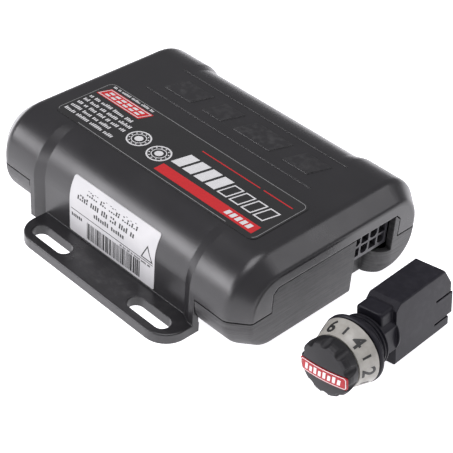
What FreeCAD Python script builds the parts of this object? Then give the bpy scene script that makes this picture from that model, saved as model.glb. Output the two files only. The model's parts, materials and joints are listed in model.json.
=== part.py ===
import FreeCAD, Part
import math
import os

import Sketcher

# An in-cab trailer brake controller, in millimetres: a flanged main unit with an 8-way
# power header, and a separate remote head with a turn-and-push control knob.
# The origin is the centre of the main unit's underside, +X runs to the connector end
# and +Z is up.

Vector = FreeCAD.Vector
Rotation = FreeCAD.Rotation

DIMENSIONS = {
    # main unit, outside
    "case_length": 120.0,
    "case_height": 33.0,
    "bulge_half": 43.5,
    "recess_half": 41.7,
    "shoulder_round": 16.5,
    "recess_full": 34.5,
    "recess_end": 38.2,
    "band_run": 6.3,
    "band_drop": 5.3,
    "band_soft": 4.0,
    "end_soft": 2.2,
    "wall": 2.4,
    "seam_height": 14.2,
    "seam_gap": 0.5,
    "skirt_end": 40.4,
    "skirt_gap": 0.3,
    "panel_half": 29.45,
    "panel_top": 23.05,
    "panel_chamfer": 2.0,
    "fit_gap": 0.3,
    "tray_round": 13.5,
    "tray_end_round": 11.0,
    "tray_end_lift": 1.2,
    # mounting flanges
    "flange_thick": 3.7,
    "flange_reach": 55.5,
    "flange_centre": 3.0,
    "flange_half": 37.4,
    "flange_round": 8.5,
    "slot_pitch": 48.0,
    "slot_row": 49.6,
    "slot_length": 18.0,
    "slot_width": 6.0,
    # circuit board and fixings
    "board_bottom": 9.6,
    "board_thick": 1.6,
    "board_half": 28.5,
    "board_left": 54.0,
    "board_right": 55.5,
    "post_x": 37.5,
    "post_y": 24.0,
    "post_round": 3.2,
    "boss_x": 46.0,
    "boss_y": 33.5,
    "boss_round": 4.4,
    "case_screw_shank": 1.45,
    "board_screw_shank": 1.05,
    # power header
    "pitch": 4.2,
    "header_face": 57.2,
    "header_back": 45.5,
    "header_low": 9.1,
    "header_high": 27.1,
    "header_tall": 10.2,
    "cavity": 3.4,
    "pin_width": 1.1,
    "notch_low": 7.9,
    "notch_high": 27.2,
    "sill_face": 57.0,
    "recess_deep": 53.0,
    "recess_wall": 2.0,
    # labels
    "label_skin": 0.2,
    "relief": 0.25,
    "label_half": 47.5,
    "label_near": -27.3,
    "label_far": -1.0,
    # remote head, in its own axes: X across, Y to the rear, Z up
    "remote_x": 84.45,
    "remote_y": -7.4,
    "remote_z": 11.38,
    "remote_yaw": 2.3,
    "remote_roll": -8.1,
    "shell_left": -5.3,
    "shell_right": 6.3,
    "shell_low": -10.65,
    "shell_high": 11.45,
    "shell_wall": 1.3,
    "barrel_round": 8.3,
    "barrel_bore": 6.9,
    "barrel_neck": 7.6,
    "can_bore": 5.75,
    "barrel_front": -13.2,
    "bezel_round": 11.35,
    "dial_back": -14.1,
    "dial_front": -20.6,
    "dial_big": 11.05,
    "dial_small": 9.05,
    "knob_back": -20.8,
    "knob_front": -26.1,
    "knob_round": 9.4,
    "knob_crown": 0.9,
    "shaft_round": 3.0,
    "run_gap": 0.04,
}

# How far the sloped band round each end steps in at its two edges for each millimetre
# of inset, so that the wall under it keeps its thickness.
BAND_SLOPE = math.atan2(DIMENSIONS["band_drop"], DIMENSIONS["band_run"])
BAND_MITRE_START = math.tan(BAND_SLOPE / 2)
BAND_MITRE_END = math.tan(math.pi / 4 - BAND_SLOPE / 2)

doc = FreeCAD.newDocument("BrakeController")


class Size:
    """A length together with the spreadsheet formula that it comes from."""

    def __init__(self, value, formula):
        self.value = value
        self.formula = formula

    def _join(self, other, sign, value):
        return Size(value, "(%s %s %s)" % (self.formula, sign, as_size(other).formula))

    def __add__(self, other):
        return self._join(other, "+", self.value + as_size(other).value)

    def __radd__(self, other):
        return as_size(other) + self

    def __sub__(self, other):
        return self._join(other, "-", self.value - as_size(other).value)

    def __rsub__(self, other):
        return as_size(other) - self

    def __mul__(self, other):
        return self._join(other, "*", self.value * as_size(other).value)

    def __rmul__(self, other):
        return as_size(other) * self

    def __truediv__(self, other):
        return self._join(other, "/", self.value / as_size(other).value)

    def __neg__(self):
        return Size(-self.value, "(0 - %s)" % self.formula)


def as_size(amount):
    if isinstance(amount, Size):
        return amount
    return Size(float(amount), "(0 - %r)" % -amount if amount < 0 else "%r" % amount)


def make_sheet():
    """Put every driving dimension in a named cell and return them as Sizes."""
    sheet = doc.addObject("Spreadsheet::Sheet", "Sizes")
    sizes = {}
    for row, (alias, value) in enumerate(DIMENSIONS.items(), start=1):
        sheet.set("A%d" % row, alias)
        sheet.set("B%d" % row, str(value))
        sheet.setAlias("B%d" % row, alias)
        sizes[alias] = Size(value, "Sizes.%s" % alias)
    doc.recompute()
    return sizes


D = make_sheet()
END = D["case_length"] / 2
BOARD_TOP = D["board_bottom"] + D["board_thick"]
FAR = 200.0


# ---------------------------------------------------------------- drawing helpers

def bind(thing, prop, amount):
    thing.setExpression(prop, as_size(amount).formula)


def bind_place(thing, x, y, z):
    for letter, amount in zip("xyz", (x, y, z)):
        bind(thing, "Placement.Base." + letter, amount)


def box(name, low, high):
    block = doc.addObject("Part::Box", name)
    for prop, start, end in zip(("Length", "Width", "Height"), low, high):
        bind(block, prop, as_size(end) - start)
    bind_place(block, *low)
    return block


TURNS = {
    "x": Rotation(Vector(0, 1, 0), 90),
    "y": Rotation(Vector(1, 0, 0), -90),
    "z": Rotation(),
}


def cylinder(name, radius, start, length, axis="z"):
    """A cylinder from the point start, running length along the named axis."""
    rod = doc.addObject("Part::Cylinder", name)
    bind(rod, "Radius", radius)
    bind(rod, "Height", length)
    rod.Placement.Rotation = TURNS[axis]
    bind_place(rod, *start)
    return rod


def fuse(name, pieces):
    joined = doc.addObject("Part::MultiFuse", name)
    joined.Shapes = pieces
    joined.Refine = True
    return joined


def group(name, pieces):
    loose = doc.addObject("Part::Compound", name)
    loose.Links = pieces
    return loose


def cut(name, base, tool):
    if isinstance(tool, list):
        tool = group(name + "_tools", tool)
    left = doc.addObject("Part::Cut", name)
    left.Base = base
    left.Tool = tool
    return left


def common(name, one, other):
    shared = doc.addObject("Part::Common", name)
    shared.Base = one
    shared.Tool = other
    return shared


class Moulding:
    """A PartDesign body grown by pads, lofts and turnings and cut by pockets."""

    NORMALS = {"XY_Plane": 1, "XZ_Plane": -1, "YZ_Plane": 1}

    def __init__(self, name):
        self.body = doc.addObject("PartDesign::Body", name)
        self.count = 0

    def _name(self, kind):
        self.count += 1
        return "%s_%s%d" % (self.body.Name, kind, self.count)

    def sketch(self, plane, position, outlines):
        """Draw closed outlines of (x, y) points, each point held by two dimensions."""
        drawing = self.body.newObject("Sketcher::SketchObject", self._name("sketch"))
        for feature in self.body.Origin.OriginFeatures:
            if feature.Role == plane:
                drawing.AttachmentSupport = [(feature, "")]
        drawing.MapMode = "FlatFace"
        bind(drawing, "AttachmentOffset.Base.z", self.NORMALS[plane] * as_size(position))
        for outline in outlines:
            draw_outline(drawing, outline)
        return drawing

    def _extrude(self, kind, plane, outlines, start, end, position):
        feature = self.body.newObject("PartDesign::" + kind, self._name(kind.lower()))
        drawing = self.sketch(plane, position, outlines)
        feature.Profile = drawing
        bind(feature, "Length", as_size(end) - start)
        return feature

    def pad(self, plane, outlines, start, end):
        position = start if self.NORMALS[plane] > 0 else end
        return self._extrude("Pad", plane, outlines, start, end, position)

    def pocket(self, plane, outlines, start, end):
        position = end if self.NORMALS[plane] > 0 else start
        return self._extrude("Pocket", plane, outlines, start, end, position)

    def loft(self, plane, outline_a, position_a, outline_b, position_b):
        feature = self.body.newObject("PartDesign::AdditiveLoft", self._name("loft"))
        feature.Profile = self.sketch(plane, position_a, [outline_a])
        feature.Sections = [self.sketch(plane, position_b, [outline_b])]
        feature.Ruled = True
        return feature

    def turn(self, outline):
        """Revolve an outline of (radius, y) points about the Y axis."""
        feature = self.body.newObject("PartDesign::Revolution", self._name("turn"))
        drawing = self.sketch("XY_Plane", 0, [outline])
        feature.Profile = drawing
        feature.ReferenceAxis = (drawing, ["V_Axis"])
        feature.Angle = 360.0
        return feature

    def fillet(self, radius, wanted):
        """Round the edges of the latest feature for which wanted(edge) is true."""
        doc.recompute([self.body])
        base = self.body.Tip
        names = []
        for number, edge in enumerate(base.Shape.Edges, start=1):
            if wanted(edge):
                names.append("Edge%d" % number)
        feature = self.body.newObject("PartDesign::Fillet", self._name("fillet"))
        feature.Base = (base, names)
        bind(feature, "Radius", radius)
        return feature


def draw_outline(drawing, outline):
    """Draw a closed outline; a point written (x, y, (cx, cy, r)) ends an arc about (cx, cy).

    The arc runs from the point before to this one, the short way round."""
    points = [(as_size(point[0]), as_size(point[1])) for point in outline]
    first = drawing.GeometryCount
    ends = []
    for index, (x, y) in enumerate(points):
        next_index = (index + 1) % len(points)
        start = Vector(x.value, y.value, 0)
        end = Vector(points[next_index][0].value, points[next_index][1].value, 0)
        if len(outline[next_index]) == 3:
            cx, cy, radius = [as_size(number).value for number in outline[next_index][2]]
            shape, forwards = short_arc(start, end, Vector(cx, cy, 0), radius)
        else:
            shape, forwards = Part.LineSegment(start, end), True
        drawing.addGeometry(shape, False)
        ends.append((1, 2) if forwards else (2, 1))
    for index, (x, y) in enumerate(points):
        here, before = first + index, first + (index - 1) % len(points)
        drawing.addConstraint(Sketcher.Constraint(
            "Coincident", before, ends[index - 1][1], here, ends[index][0]))
        for kind, amount in (("DistanceX", x), ("DistanceY", y)):
            number = drawing.addConstraint(
                Sketcher.Constraint(kind, -1, 1, here, ends[index][0], amount.value))
            bind(drawing, "Constraints[%d]" % number, amount)
    for index, point in enumerate(outline):
        if len(point) == 3:
            arc = first + (index - 1) % len(points)
            radius = as_size(point[2][2])
            number = drawing.addConstraint(Sketcher.Constraint("Radius", arc, radius.value))
            bind(drawing, "Constraints[%d]" % number, radius)


def short_arc(start, end, centre, radius):
    """The shorter arc between two points, always drawn anticlockwise, and whether that is
    from start to end."""
    middle = (start + end) / 2 - centre
    middle.Length = radius
    forwards = (start - centre).cross(end - centre).z > 0
    first, last = (start, end) if forwards else (end, start)
    return Part.Arc(first, centre + middle, last), forwards


def rectangle(x0, y0, x1, y1):
    return [(x0, y0), (x1, y0), (x1, y1), (x0, y1)]


def rounded_rectangle(x0, y0, x1, y1, r):
    x0, y0, x1, y1, r = [as_size(amount) for amount in (x0, y0, x1, y1, r)]
    return [
        (x0 + r, y0, (x0 + r, y0 + r, r)),
        (x1 - r, y0),
        (x1, y0 + r, (x1 - r, y0 + r, r)),
        (x1, y1 - r),
        (x1 - r, y1, (x1 - r, y1 - r, r)),
        (x0 + r, y1),
        (x0, y1 - r, (x0 + r, y1 - r, r)),
        (x0, y0 + r),
    ]


def is_along(edge, direction):
    if edge.Curve.TypeId != "Part::GeomLine":
        return False
    return abs(edge.tangentAt(edge.FirstParameter).dot(direction)) > 0.999


PIECES = []


def finish(piece, label, remote=False):
    """Name a finished sub-part; a piece of the remote head also gets the head's placement."""
    piece.Label = label
    if remote:
        yaw = Rotation(Vector(0, 0, 1), D["remote_yaw"].value)
        roll = Rotation(Vector(0, 1, 0), D["remote_roll"].value)
        piece.Placement = FreeCAD.Placement(Vector(0, 0, 0), yaw.multiply(roll))
        bind_place(piece, D["remote_x"], D["remote_y"], D["remote_z"])
    PIECES.append(piece)
    return piece


def corners(x, y):
    return [(sx * x, sy * y) for sx in (-1, 1) for sy in (-1, 1)]


# ---------------------------------------------------------------- main unit: casings

def case_profile(half, inset, bottom):
    """Section across the case: upright walls, round shoulders and a flat top."""
    half = half - inset
    r = D["shoulder_round"] - inset
    top = D["case_height"] - inset
    return [
        (-half, bottom),
        (half, bottom),
        (half, top - r),
        (half - r, top, (half - r, top - r, r)),
        (r - half, top),
        (-half, top - r, (r - half, top - r, r)),
    ]


def band_start(inset):
    """Where the sloped band round an end starts, along X."""
    return END - D["band_run"] - BAND_MITRE_START * inset


def band_inset(inset):
    """How far the section at an end is shrunk where the band ends."""
    return D["band_drop"] + BAND_MITRE_END * inset


def round_band(block, bottom):
    """Soften both edges of the band round each end, but not at the section's open side."""
    for start, radius in ((band_start(0), D["band_soft"]), (END, D["end_soft"])):
        block.fillet(radius, lambda edge: is_section_edge(edge, start.value, bottom.value))


def is_section_edge(edge, x, open_side):
    """Whether an edge lies across the case at x or -x, away from the height open_side."""
    box = edge.BoundBox
    flat = box.XLength < 0.01 and abs(abs(box.XMin) - x) < 0.01
    return flat and not (box.ZLength < 0.01 and abs(box.ZMin - open_side) < 0.01)


def case_block(name, inset, bottom):
    """The cover's solid form, shrunk by inset: two end bulges and a waist between them."""
    block = Moulding(name)
    bulge = case_profile(D["bulge_half"], inset, bottom)
    waist = case_profile(D["recess_half"], inset, bottom)
    end = case_profile(D["bulge_half"], band_inset(inset), bottom)
    band, reach = band_start(inset), END - inset
    block.pad("YZ_Plane", [waist], -D["recess_full"], D["recess_full"])
    block.loft("YZ_Plane", waist, D["recess_full"], bulge, D["recess_end"])
    block.pad("YZ_Plane", [bulge], D["recess_end"], band)
    block.loft("YZ_Plane", bulge, band, end, reach)
    block.loft("YZ_Plane", bulge, -D["recess_end"], waist, -D["recess_full"])
    block.pad("YZ_Plane", [bulge], -band, -D["recess_end"])
    block.loft("YZ_Plane", end, -reach, bulge, -band)
    return block


def cover_bosses(outer):
    """Bosses that take the case screws, trimmed to the cover's outside."""
    rods = [cylinder("cover_boss", D["boss_round"] - 1.2, (x, y, 12.2), 19)
            for x, y in corners(D["boss_x"], D["boss_y"])]
    return common("cover_bosses", group("cover_boss_rods", rods), outer)


def flange(side):
    """One mounting ear with two slots, on the side given by its sign."""
    ear = Moulding("flange_near" if side < 0 else "flange_far")
    centre, half, r = D["flange_centre"], D["flange_half"], D["flange_round"]
    left, right = centre - half, centre + half
    root, tip = D["recess_half"] - 1, D["flange_reach"]
    ear.pad("XY_Plane", [[
        (left, side * root),
        (right, side * root),
        (right, side * (tip - r)),
        (right - r, side * tip, (right - r, side * (tip - r), r)),
        (left + r, side * tip),
        (left, side * (tip - r), (left + r, side * (tip - r), r)),
    ]], 0, D["flange_thick"])
    rim = D["flange_thick"].value
    ear.fillet(0.6, lambda edge: abs(edge.CenterOfMass.z - rim) < 0.01
               and abs(edge.CenterOfMass.y) > root.value + 0.5)
    for shift in (-0.5, 0.5):
        x = centre + shift * D["slot_pitch"]
        ear.pocket("XY_Plane", [rounded_slot(x, side * D["slot_row"])], -1, 10)
    return ear.body


def rounded_slot(x, y):
    """A slot with part-round ends; its corners are rounded at 2.9, just under half its width."""
    run, rise, r = D["slot_length"] / 2, D["slot_width"] / 2, D["slot_width"] / 2 - 0.05
    return rounded_rectangle(x - run, y - rise, x + run, y + rise, r)


def relief_bars():
    """Low moulded relief on the far half of the top: slanted bars between two thin lines."""
    relief = Moulding("relief_bars")
    top, lean = D["case_height"], 3
    outlines = []
    for start, end in ((-34, -18), (-15, -3), (0, 20), (23, 37)):
        outlines.append([(start, 11), (end - lean, 11), (end, 20), (start + lean, 20)])
    outlines.append(rectangle(-38, 6, 40, 6.6))
    outlines.append(rectangle(-38, 24.0, 40, 24.6))
    relief.pad("XY_Plane", outlines, top - 0.5, top + D["relief"])
    return relief.body


def upper_cover(outer):
    inner = case_block("cover_inside", D["wall"], -1).body
    shell = cut("cover_shell", outer, inner)
    body = fuse("cover_solid", [shell, cover_bosses(outer), flange(-1), flange(1), relief_bars()])
    seam = D["seam_height"] + D["seam_gap"] / 2
    tools = [
        box("below_seam_right", (D["skirt_end"], -FAR / 2, -2), (FAR, FAR / 2, seam)),
        box("below_seam_left", (-FAR, -FAR / 2, -2), (-D["skirt_end"], FAR / 2, seam)),
        panel_opening(),
    ]
    for x, y in corners(D["boss_x"], D["boss_y"]):
        tools.append(cylinder("boss_bore", D["case_screw_shank"] + 0.05, (x, y, 10), 14))
    return finish(cut("upper_cover", body, tools), "upper_cover")


def panel_outline(grow):
    """End panel outline in the YZ plane with chamfered top corners."""
    half, top, c = D["panel_half"] + grow, D["panel_top"] + grow, D["panel_chamfer"]
    return [(-half, 5), (half, 5), (half, top - c), (half - c, top), (c - half, top), (-half, top - c)]


def panel_opening():
    opening = Moulding("panel_opening")
    opening.pad("YZ_Plane", [panel_outline(D["fit_gap"])], -FAR / 2, FAR / 2)
    middle = box("panel_keep", (3.5 - END, -FAR / 2, -2), (END - 3.5, FAR / 2, FAR))
    return cut("panel_opening_ends", opening.body, middle)


def tray_section(half, low, r, top):
    """Section across the lower casing: flat underneath with large round corners."""
    return [
        (r - half, low, (r - half, low + r, r)),
        (half - r, low),
        (half, low + r, (half - r, low + r, r)),
        (half, top),
        (-half, top),
        (-half, low + r),
    ]


def tray_block(name, inset, top):
    """The lower casing's solid form, shrunk by inset, up to the height top."""
    block = Moulding(name)
    half = D["bulge_half"]
    section = tray_section(half - inset, inset, D["tray_round"] - inset, top)
    end = tray_section(half - band_inset(inset), D["tray_end_lift"] + inset,
                       D["tray_end_round"] - inset, top)
    band, reach = band_start(inset), END - inset
    block.pad("YZ_Plane", [section], -band, band)
    block.loft("YZ_Plane", section, band, end, reach)
    block.loft("YZ_Plane", end, -reach, section, -band)
    return block


def waist_cut(block, inset, side):
    """Take the sides off a tray block between the bulges, outside y = side."""
    run = D["skirt_end"] + D["fit_gap"] + inset
    sides = [rectangle(-run, sy * side, run, sy * FAR) for sy in (-1, 1)]
    block.pocket("XY_Plane", sides, -5, FAR)


def base_cover():
    rim = D["seam_height"] - D["seam_gap"] / 2
    block = tray_block("tray_outside", as_size(0), rim)
    round_band(block, rim)
    waist_cut(block, 0, D["recess_half"] - D["wall"] - D["skirt_gap"])
    outer = block.body
    inner = tray_block("tray_inside", D["wall"], rim + 20)
    waist_cut(inner, D["wall"], D["recess_half"] - 2 * D["wall"])
    shell = cut("tray_shell", outer, inner.body)
    panel = Moulding("end_panels")
    panel.pad("YZ_Plane", [panel_outline(0)], -END, END)
    middle = box("panel_middle", (D["wall"] - END, -FAR / 2, 0), (END - D["wall"], FAR / 2, FAR))
    parts = [shell, cut("end_panel_pair", panel.body, middle), seam_lip()]
    for x, y in corners(D["post_x"], D["post_y"]):
        parts.append(cylinder("board_post", D["post_round"], (x, y, 1), D["board_bottom"] - 1))
    posts = [cylinder("case_post", D["boss_round"], (x, y, 0), 12)
             for x, y in corners(D["boss_x"], D["boss_y"])]
    parts.append(common("case_posts", group("case_post_rods", posts), outer))
    parts.append(common("recess_walls", recess_wall(), outer))
    solid = fuse("tray_solid", parts)
    sill_top = D["board_bottom"] - 0.2
    tools = [
        header_recess(sill_top),
        box("header_notch", (D["sill_face"], D["notch_low"], sill_top - 0.1), (FAR, D["notch_high"], FAR)),
    ]
    for x, y in corners(D["post_x"], D["post_y"]):
        tools.append(cylinder("post_bore", D["board_screw_shank"] + 0.05, (x, y, 2.8), 8))
    for x, y in corners(D["boss_x"], D["boss_y"]):
        tools.append(cylinder("head_bore", 3.0, (x, y, -1), 3.6))
        tools.append(cylinder("shank_bore", 1.7, (x, y, -1), 16))
    return finish(cut("base_cover", solid, tools), "base_cover")


def recess_corner():
    """Depth, far side and radius of the round far corner of the recess below the header."""
    deep = D["recess_deep"]
    return deep, D["notch_high"] + 1, END - deep


def header_recess(top):
    """What is cut from the foot of the case below the header, for the plug's latch."""
    recess = Moulding("header_recess")
    deep, far, r = recess_corner()
    recess.pad("XY_Plane", [[
        (deep, D["notch_low"]), (FAR, D["notch_low"]), (FAR, far), (END, far),
        (deep, far - r, (deep, far, r)),
    ]], -1, top)
    return recess.body


def recess_wall():
    """Wall that lines the recess below the header."""
    lining = Moulding("recess_wall")
    deep, far, r = recess_corner()
    near, thick = D["notch_low"], D["recess_wall"]
    lining.pad("XY_Plane", [[
        (deep - thick, near - thick), (END, near - thick), (END, near), (deep, near),
        (deep, far - r), (END, far, (deep, far, r)), (END - thick, far),
        (deep, far - r + thick, (deep, far, r - thick)), (deep - thick, far - r + thick),
    ]], 0, D["board_bottom"] - 0.2)
    return lining.body


def rim_outline(inset):
    """The case's outline in plan at the seam, shrunk by inset."""
    x, y = END - inset, D["bulge_half"] - inset
    a, b = band_start(inset), D["bulge_half"] - band_inset(inset)
    return [(-x, -b), (-a, -y), (a, -y), (x, -b), (x, b), (a, y), (-a, y), (-x, b)]


def seam_lip():
    """A lip inside the bulges' rim that closes the seam behind its gap."""
    lip = Moulding("seam_lip")
    rim = D["seam_height"] - D["seam_gap"] / 2
    lip.pad("XY_Plane", [rim_outline(D["wall"] + 0.1)], rim - 3, rim + 2.2)
    run = D["skirt_end"] + D["fit_gap"] + 0.6
    half = D["panel_half"] + 0.6
    for outline in (rim_outline(D["wall"] + 1.2), rectangle(-run, -FAR / 2, run, FAR / 2),
                    rectangle(-FAR / 2, -half, FAR / 2, half)):
        lip.pocket("XY_Plane", [outline], rim - 4, rim + 3)
    return lip.body


# ---------------------------------------------------------------- main unit: inside

def circuit_board():
    plate = box("board_plate", (-D["board_left"], -D["board_half"], D["board_bottom"]),
                (D["board_right"], D["board_half"], BOARD_TOP))
    holes = [cylinder("board_hole", 1.4, (x, y, 5), 8) for x, y in corners(D["post_x"], D["post_y"])]
    holes += [cylinder("pin_hole", 0.9, (x, y, 5), 8) for x, y, z in pin_places()]
    holes += [cylinder("spreader_hole", 1.5, (x, SPREADER_Y, 5), 8) for x in SPREADER_FEET]
    return finish(cut("circuit_board", plate, holes), "circuit_board")


def pin_places():
    """Tail position and contact height of each of the 2 x 4 pins."""
    middle_y = (D["header_low"] + D["header_high"]) / 2
    middle_z = BOARD_TOP + D["header_tall"] / 2
    places = []
    for row, tail in ((0.5, 3.9), (-0.5, 1.7)):
        for column in (-1.5, -0.5, 0.5, 1.5):
            places.append((D["header_back"] - tail, middle_y + column * D["pitch"],
                           middle_z + row * D["pitch"]))
    return places


def power_header():
    """Housing of the header: a block with square and D-shaped cavities in turn."""
    housing = Moulding("header_housing")
    low, high, face = D["header_low"], D["header_high"], D["header_face"]
    top = BOARD_TOP + D["header_tall"]
    housing.pad("YZ_Plane", [rectangle(low, BOARD_TOP, high, top)], D["header_back"], face)
    half = D["cavity"] / 2
    outlines = []
    for number, (x, y, z) in enumerate(pin_places()):
        if (number + number // 4) % 2:
            outlines.append(rectangle(y - half, z - half, y + half, z + half))
        else:
            c = 0.9
            outlines.append([(y - half + c, z - half), (y + half - c, z - half),
                             (y + half, z - half + c), (y + half, z + half),
                             (y - half, z + half), (y - half, z - half + c)])
    housing.pocket("YZ_Plane", outlines, D["header_back"] + 2, face + 1)
    half = D["pin_width"] / 2 + 0.05
    bores = [rectangle(y - half, z - half, y + half, z + half) for x, y, z in pin_places()]
    housing.pocket("YZ_Plane", bores, D["header_back"] - 1, D["header_back"] + 3)
    return finish(housing.body, "power_header")


def header_pins():
    """Eight square pins, each bent down from its cavity through the board."""
    pins = []
    half = D["pin_width"] / 2
    for x, y, z in pin_places():
        blade = box("pin_blade", (x - half, y - half, z - half), (D["header_face"] - 2, y + half, z + half))
        tail = box("pin_tail", (x - half, y - half, 7.6), (x + half, y + half, z))
        pins.append(fuse("header_pin", [blade, tail]))
    return finish(group("header_pins", pins), "header_pins")


SPREADER_FEET = (-36.0, 16.0)
SPREADER_Y = -14.0
TRANSISTOR_X = (-28.0, -16.0, -4.0, 8.0)
PACKAGE_TALL = 4.4
PAD_THICK = 0.5


def power_transistors():
    packages = []
    for x in TRANSISTOR_X:
        packages.append(box("transistor", (x - 5, SPREADER_Y - 4.5, BOARD_TOP),
                            (x + 5, SPREADER_Y + 4.5, BOARD_TOP + PACKAGE_TALL)))
    return finish(group("power_transistors", packages), "power_transistors")


def thermal_pad():
    low = BOARD_TOP + PACKAGE_TALL
    sheet = box("pad_sheet", (-33.5, SPREADER_Y - 5, low), (13.5, SPREADER_Y + 5, low + PAD_THICK))
    return finish(sheet, "thermal_pad")


def heat_spreader():
    """Finned aluminium bar that stands on two feet over the transistors."""
    low = BOARD_TOP + PACKAGE_TALL + PAD_THICK
    left, right = SPREADER_FEET
    parts = [box("spreader_plate", (left - 2.5, SPREADER_Y - 6, low),
                 (right + 2.5, SPREADER_Y + 6, low + 2.6))]
    for index in range(5):
        y = SPREADER_Y - 5.9 + 2.6 * index
        parts.append(box("fin", (left - 2.5, y, low + 2), (right + 2.5, y + 1.2, 28.6)))
    for x in SPREADER_FEET:
        parts.append(box("foot", (x - 2.3, SPREADER_Y - 3, BOARD_TOP), (x + 2.3, SPREADER_Y + 3, low + 1)))
    bores = [cylinder("foot_bore", 1.25, (x, SPREADER_Y, 9), 6) for x in SPREADER_FEET]
    return finish(cut("heat_spreader", fuse("spreader_solid", parts), bores), "heat_spreader")


def screw(name, x, y, head, head_round, shank, shank_round, recess_low):
    """A vertical screw; head and shank are (low, high), the cross recess is 1 mm tall."""
    low, high = head
    tip, top = shank
    solid = fuse(name + "_solid", [
        cylinder(name + "_head", head_round, (x, y, low), high - low),
        cylinder(name + "_shank", shank_round, (x, y, tip), top - tip),
    ])
    bars = [
        box(name + "_slot", (x - 1.5, y - 0.35, recess_low), (x + 1.5, y + 0.35, recess_low + 1)),
        box(name + "_slot", (x - 0.35, y - 1.5, recess_low), (x + 0.35, y + 1.5, recess_low + 1)),
    ]
    return cut(name, solid, fuse(name + "_cross", bars))


def case_screws():
    shank = D["case_screw_shank"]
    screws = [screw("case_screw", x, y, (0.9, 2.6), 2.8, (1.75, 22.0), shank, as_size(0.7))
              for x, y in corners(D["boss_x"], D["boss_y"])]
    return finish(group("case_screws", screws), "case_screws")


def board_screws():
    top, shank = BOARD_TOP, D["board_screw_shank"]
    screws = [screw("board_screw", x, y, (top, top + 1.8), 2.5, (as_size(3.2), top + 0.9), shank, top + 1.1)
              for x, y in corners(D["post_x"], D["post_y"])]
    return finish(group("board_screws", screws), "board_screws")


def spreader_screws():
    low = D["board_bottom"] - 1.8
    screws = [screw("spreader_screw", as_size(x), as_size(SPREADER_Y), (low, low + 1.8), 2.4,
                    (low + 0.9, as_size(14.0)), as_size(1.2), low - 0.4)
              for x in SPREADER_FEET]
    return finish(group("spreader_screws", screws), "spreader_screws")


def filter_capacitors():
    cans = []
    for y in (-17.0, -5.5):
        can = cylinder("can", 5, (27, y, BOARD_TOP), 15)
        groove = doc.addObject("Part::Torus", "can_groove")
        groove.Radius1 = 5.3
        groove.Radius2 = 0.6
        bind_place(groove, 27, y, BOARD_TOP + 2.4)
        cans.append(cut("capacitor", can, groove))
    return finish(group("filter_capacitors", cans), "filter_capacitors")


def suppression_choke():
    """A wound ring lying on the board."""
    ring = doc.addObject("Part::Torus", "choke_ring")
    ring.Radius1 = 6.0
    ring.Radius2 = 2.6
    bind_place(ring, -24, 8, BOARD_TOP + 2.65)
    return finish(group("suppression_choke", [ring]), "suppression_choke")


def board_chip(label, x, y, length, width, tall, mark):
    """A flat package with a pin-one dimple."""
    body = box(label + "_body", (x - length / 2, y - width / 2, BOARD_TOP),
               (x + length / 2, y + width / 2, BOARD_TOP + tall))
    dimple = cylinder(label + "_dimple", mark, (x - length / 2 + 2 * mark, y - width / 2 + 2 * mark,
                                               BOARD_TOP + tall - 0.2), 2)
    return finish(cut(label, body, dimple), label)


def shunt_resistor():
    """A current-sensing strip that stands on two feet."""
    bridge = Moulding("shunt_bridge")
    x, y = 39.0, -10.0
    low = BOARD_TOP
    bridge.pad("XZ_Plane", [[
        (x - 7, low), (x - 4.2, low), (x - 4.2, low + 2.2), (x + 4.2, low + 2.2),
        (x + 4.2, low), (x + 7, low), (x + 7, low + 0.9), (x + 5.2, low + 3.3),
        (x - 5.2, low + 3.3), (x - 7, low + 0.9),
    ]], y - 2, y + 2)
    return finish(bridge.body, "shunt_resistor")


# ---------------------------------------------------------------- main unit: labels

def top_label(skin):
    patch = Moulding("top_patch")
    patch.pad("XY_Plane", [rounded_rectangle(-D["label_half"], D["label_near"], D["label_half"],
                                             D["label_far"], 2.5)], 30, 36)
    film = common("top_label", skin, patch.body)
    return finish(film, "top_label")


def side_label(skin):
    patch = Moulding("side_patch")
    patch.pad("XZ_Plane", [rounded_rectangle(-21.3, 4.4, 20.5, 25.6, 0.8)], -45, -30)
    film = common("side_label", skin, patch.body)
    return finish(film, "side_label")


# ---------------------------------------------------------------- remote head: fixed pieces

SHELL_MIDDLE = (D["shell_left"] + D["shell_right"]) / 2
WEB_FRONT = -6.6
WEB_BACK = -5.2
BEZEL_FRONT = -13.4


def remote_body():
    """Box shell open at the rear, with the threaded barrel moulded on its front."""
    shell = Moulding("remote_shell")
    low, high = D["shell_low"], D["shell_high"]
    left, right, wall = D["shell_left"], D["shell_right"], D["shell_wall"]
    shell.pad("YZ_Plane", [[
        (0, low), (27.2, low), (27.2, -7.1), (29, -6.4), (29, 1.4), (28, 2.2),
        (28, 5.3), (24.3, high), (2.3, high), (0, high - 2.3),
    ]], left, right)
    shell.fillet(0.8, lambda edge: is_along(edge, Vector(0, 1, 0)))
    shell.pocket("XZ_Plane", [rectangle(left + wall, low + wall, right - wall, high - wall)], 1.6, 40)
    neck = Moulding("neck_block")
    neck.pad("XZ_Plane", [rounded_rectangle(-4.9, 4.5, 4.9, 10.4, 1.5)], -5.4, 0.5)
    neck.fillet(0.8, lambda edge: edge.BoundBox.YMax < -5.3)
    solid = fuse("remote_solid", [shell.body, barrel(), neck.body])
    tools = [
        cylinder("front_bore", D["can_bore"], (0, WEB_BACK, 0), 1.8 - WEB_BACK, "y"),
        box("barrel_flat", (right, WEB_FRONT, low), (right + 4, 0, high)),
        box("slit_upper", (left - 1, 20.3, 1.4), (right + 1, 40, 2.2)),
        box("slit_lower", (left - 1, 19.8, -7.1), (right + 1, 40, -6.4)),
    ]
    return finish(cut("remote_body", solid, tools), "remote_body", remote=True)


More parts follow.
